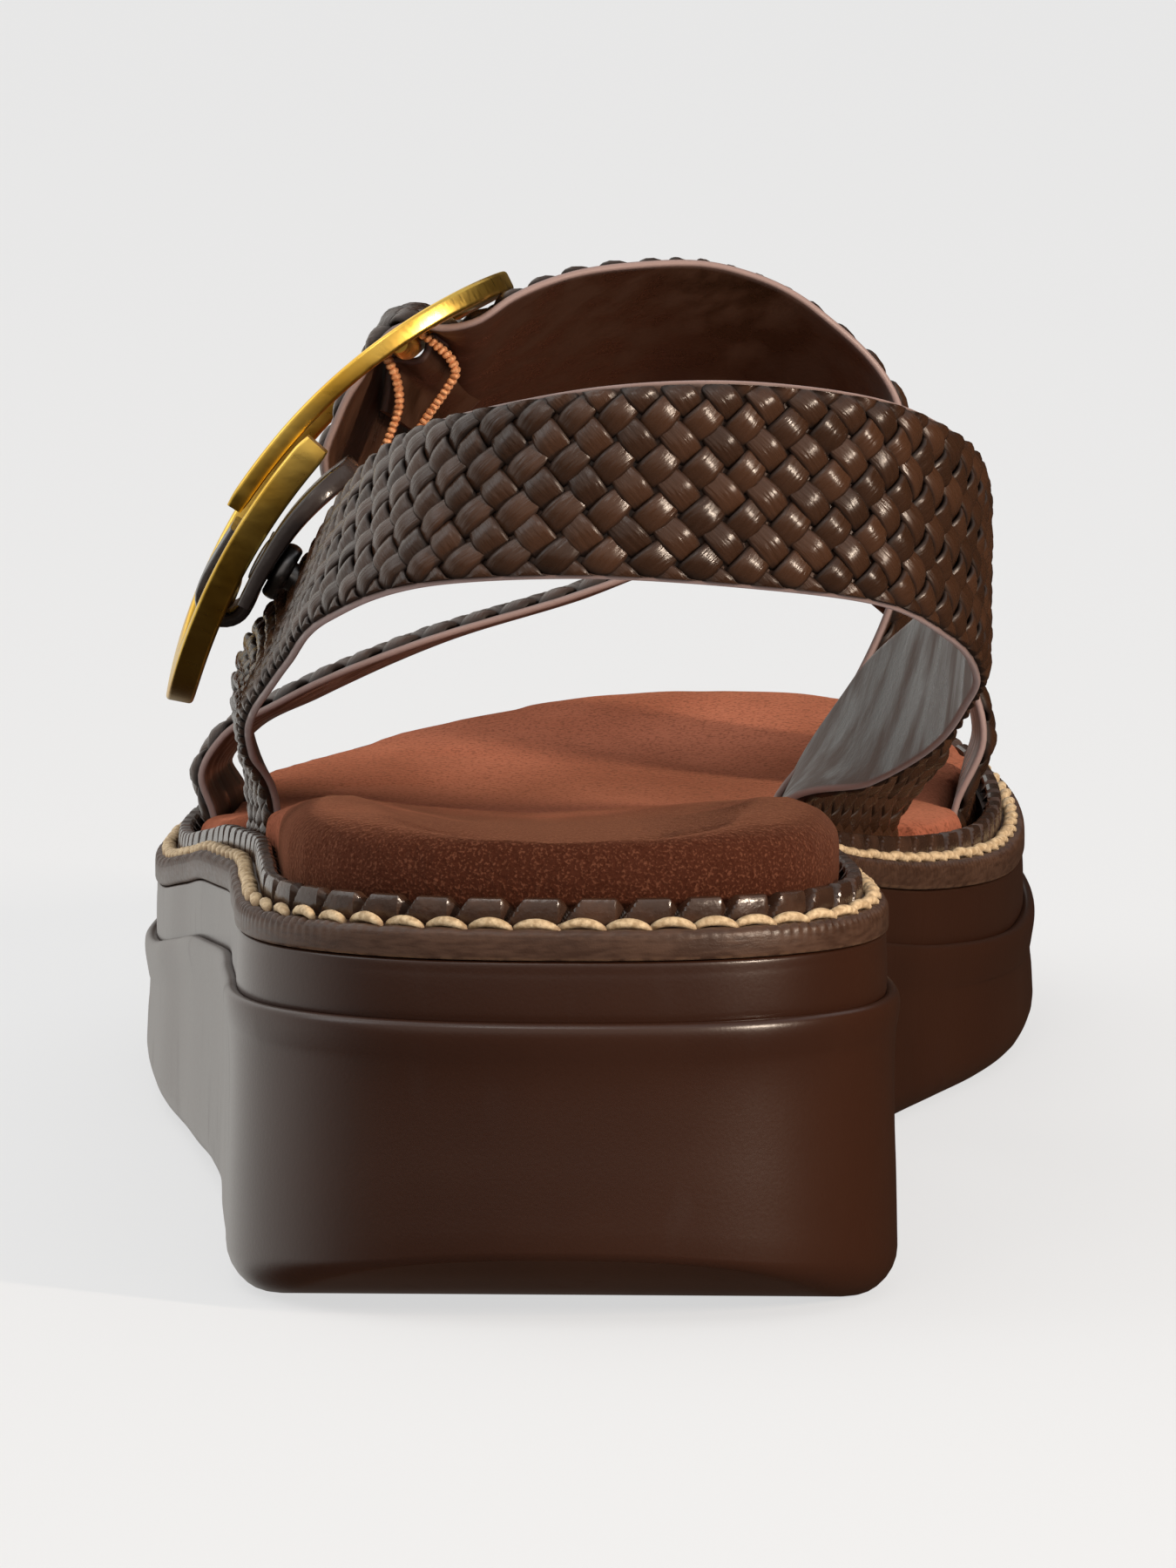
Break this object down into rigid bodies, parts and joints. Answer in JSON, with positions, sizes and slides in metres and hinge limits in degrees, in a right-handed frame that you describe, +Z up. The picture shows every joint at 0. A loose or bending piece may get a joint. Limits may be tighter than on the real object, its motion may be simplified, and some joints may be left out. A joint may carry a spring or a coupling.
{
  "type": "flatform sandal",
  "caption": "Flatform sandal with a two-tier moulded sole, stitched welt, padded footbed, plaited leather straps and an open oval buckle at the outer ankle.",
  "frame": {"origin": "on the floor under the middle of the heel, at the heel's flat tread", "axes": "+Y from heel to toe, +X towards the inner (medial) side of the foot, +Z up"},
  "size_m": [0.0983, 0.262, 0.0972],
  "materials": {
    "sole_rubber": "smooth semi-gloss moulding",
    "welt_board": "wheeled leather strip, waxed",
    "rand_leather": "ribbed, waxed",
    "suede": "brushed suede",
    "plaited_leather": "plaited, semi-gloss",
    "lining_leather": "smooth lining",
    "edge_paint": "painted cut edge",
    "stitch_thread": "twisted waxed thread",
    "gold_metal": "brushed gold plating",
    "rivet_metal": "dark plated",
    "elastic_band": "ribbed elastic"
  },
  "bodies": {
    "root": {"outsole": "sole_rubber", "midsole": "sole_rubber", "welt": "welt_board", "rand": "rand_leather", "footbed": "suede", "upper": "plaited_leather", "toe_strap": "plaited_leather", "buckle": "gold_metal", "chape": "plaited_leather", "rivet": "rivet_metal", "elastic": "elastic_band"}
  },
  "joints": []
}
